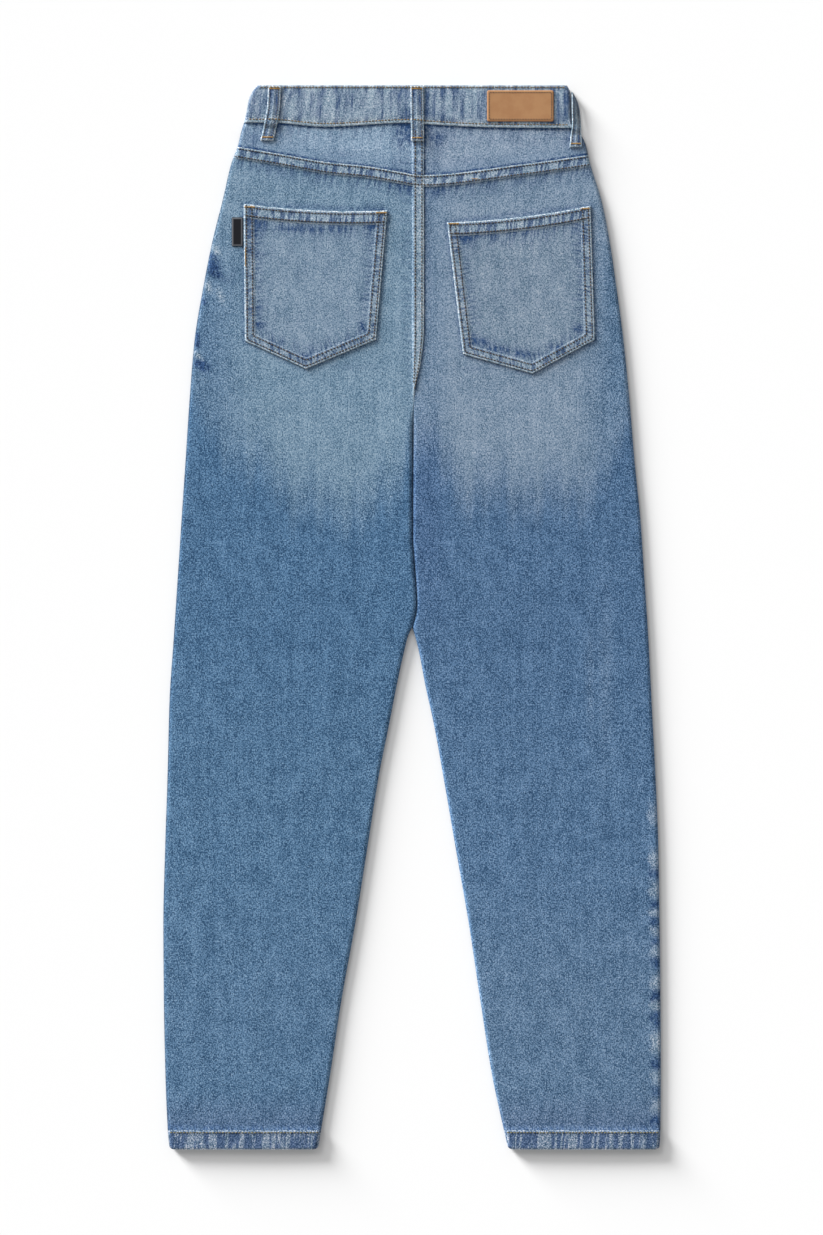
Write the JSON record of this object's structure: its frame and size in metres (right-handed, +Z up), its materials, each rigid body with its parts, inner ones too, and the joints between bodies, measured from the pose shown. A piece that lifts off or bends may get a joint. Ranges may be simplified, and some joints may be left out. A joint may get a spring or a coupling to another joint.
{
  "type": "mom jeans",
  "caption": "High-waisted tapered denim trousers laid flat with the back up, with yoke, patch pockets, belt loops and turned-up hems.",
  "frame": {"origin": "on the surface that the jeans lie on, under the middle of their length and width", "axes": "+Y from the hems to the waist, +X to the right of the back seen from above (the wearer's right), +Z up, out of the back"},
  "size_m": [0.4785, 1.022, 0.0088],
  "materials": {
    "denim": "stone-washed twill, matt",
    "faded_denim": "stone-washed twill, faded, matt",
    "waistband_denim": "stone-washed twill, mottled, matt",
    "leather": "smooth tan, bare",
    "woven_tape": "black woven tape, bare",
    "brass": "antique, satin",
    "thread": "gold-brown sewing thread"
  },
  "bodies": {
    "root": {"back_leg_left": "denim", "back_leg_right": "denim", "back_yoke_left": "denim", "back_yoke_right": "denim", "front_leg_left": "denim", "front_leg_right": "denim", "front_pocket_left": "denim", "front_pocket_right": "denim", "fly": "denim", "waistband": "waistband_denim", "back_pocket_left": "faded_denim", "back_pocket_right": "faded_denim", "belt_loop_back_left": "waistband_denim", "belt_loop_back_centre": "waistband_denim", "belt_loop_back_right": "waistband_denim", "belt_loop_front_left": "waistband_denim", "belt_loop_front_right": "waistband_denim", "leather_patch": "leather", "side_tab": "woven_tape", "button": "brass"}
  },
  "joints": []
}
